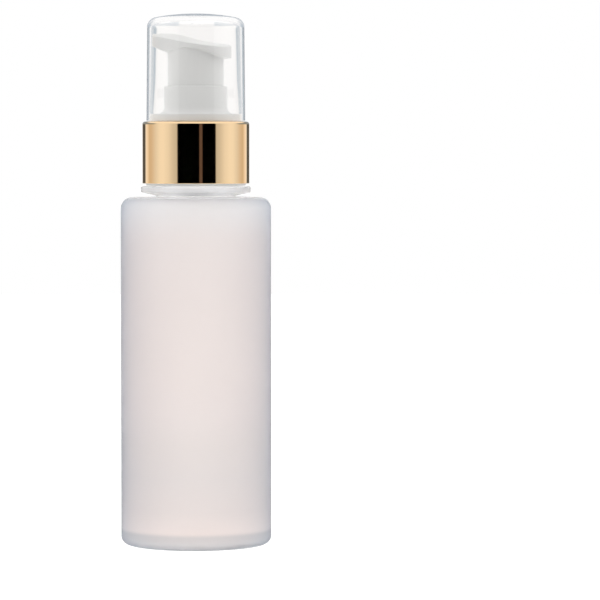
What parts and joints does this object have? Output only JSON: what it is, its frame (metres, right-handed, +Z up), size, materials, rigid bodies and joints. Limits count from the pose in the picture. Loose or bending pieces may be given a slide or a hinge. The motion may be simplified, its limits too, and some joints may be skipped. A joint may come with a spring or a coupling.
{
  "type": "pump bottle",
  "caption": "Frosted cylinder bottle with a screw-on lotion pump, side spout head, metal collar and clear push-on overcap.",
  "frame": {"origin": "centre of the bottle's base, on the surface it stands on", "axes": "+Z up along the bottle's axis; the spout points to -X at rest"},
  "size_m": [0.04, 0.04, 0.1411],
  "materials": {
    "frosted_bottle": "frosted translucent PET, satin",
    "foam": "closed-cell foam",
    "white_plastic": "white polypropylene, soft sheen",
    "gold_collar": "polished, gold anodised",
    "natural_plastic": "natural polypropylene and polyethylene",
    "steel": "stainless wire and ball",
    "clear_cap": "clear, polished"
  },
  "bodies": {
    "bottle": {"bottle": "frosted_bottle"},
    "pump": {"pump_housing": "natural_plastic", "chaplet": "white_plastic", "neck_gasket": "foam", "dip_tube": "natural_plastic"},
    "closure": {"screw_closure": "white_plastic", "collar_shell": "gold_collar"},
    "overcap": {"overcap": "clear_cap"},
    "spring": {"return_spring": "steel"},
    "head": {"actuator": "white_plastic", "stem": "natural_plastic", "piston_rod": "natural_plastic"},
    "piston": {"piston": "natural_plastic"},
    "ball": {"check_ball": "steel"}
  },
  "joints": [
    {"name": "pump_lift", "type": "slide", "parent": "bottle", "child": "pump", "axis": [0, 0, 1], "range_m": [0, 0.00476]},
    {"name": "closure_turn", "type": "hinge", "parent": "pump", "child": "closure", "pos_m": [0, 0, 0.104], "axis": [0, 0, 1], "range_deg": [0, 540]},
    {"name": "overcap_lift", "type": "slide", "parent": "pump", "child": "overcap", "axis": [0, 0, 1], "range_m": [0, 0.04]},
    {"name": "head_turn", "type": "hinge", "parent": "pump", "child": "spring", "pos_m": [0, 0, 0.122], "axis": [0, 0, 1], "continuous": true},
    {"name": "head_press", "type": "slide", "parent": "spring", "child": "head", "axis": [0, 0, -1], "range_m": [0, 0.0055], "stiffness_N_per_m": 1200, "springref_m": -0.005, "deforming": ["return_spring"]},
    {"name": "piston_slip", "type": "slide", "parent": "head", "child": "piston", "axis": [0, 0, 1], "range_m": [0, 0.0008]},
    {"name": "ball_lift", "type": "slide", "parent": "pump", "child": "ball", "axis": [0, 0, 1], "range_m": [0, 0.0008]}
  ],
  "couplings": [
    {"joint": "closure_turn", "follows": "pump_lift", "rad_per_m": 1979}
  ]
}
